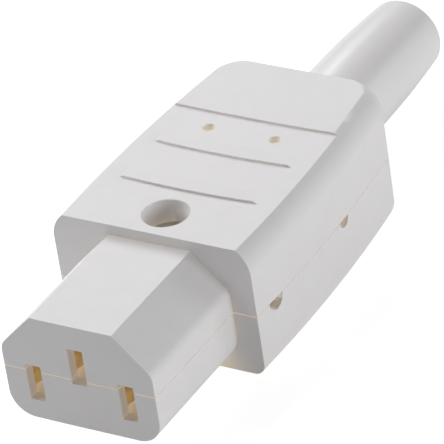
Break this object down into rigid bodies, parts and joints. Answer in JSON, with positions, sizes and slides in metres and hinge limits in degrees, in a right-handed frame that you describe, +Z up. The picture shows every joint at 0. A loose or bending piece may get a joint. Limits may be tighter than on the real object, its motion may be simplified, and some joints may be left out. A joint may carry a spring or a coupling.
{
  "type": "c13 power connector",
  "caption": "Rewirable C13 cord connector: slotted mating nose, screwed split housing with grip ridges, spring contacts, pillar terminals, cord clamp and bend relief boot.",
  "frame": {"origin": "centre of the mating face of the nose", "axes": "-Y out of the mating face, +Y along the connector to the free end of the boot, +Z up through the side that the closing screw goes in, +X to the right seen from the mating face with +Z up"},
  "size_m": [0.0304, 0.0912, 0.0197],
  "materials": {
    "shell_plastic": "fine matt grain, warm white moulded plastic",
    "boot_plastic": "smooth, softly glossy flexible white plastic",
    "strap_plastic": "plain matt white plastic",
    "contact_brass": "bent sheet, lightly dulled",
    "terminal_brass": "machined block",
    "zinc_steel": "zinc plated, slightly yellow"
  },
  "bodies": {
    "root": {"upper_shell": "shell_plastic", "lower_shell": "shell_plastic", "closing_screw": "zinc_steel", "closing_nut": "zinc_steel", "live_contact": "contact_brass", "neutral_contact": "contact_brass", "earth_contact": "contact_brass", "live_terminal": "terminal_brass", "neutral_terminal": "terminal_brass", "earth_terminal": "terminal_brass", "live_terminal_screw": "zinc_steel", "neutral_terminal_screw": "zinc_steel", "earth_terminal_screw": "zinc_steel", "cord_clamp": "strap_plastic", "cord_clamp_screw_left": "zinc_steel", "cord_clamp_screw_right": "zinc_steel", "bend_relief_boot": "boot_plastic"}
  },
  "joints": []
}
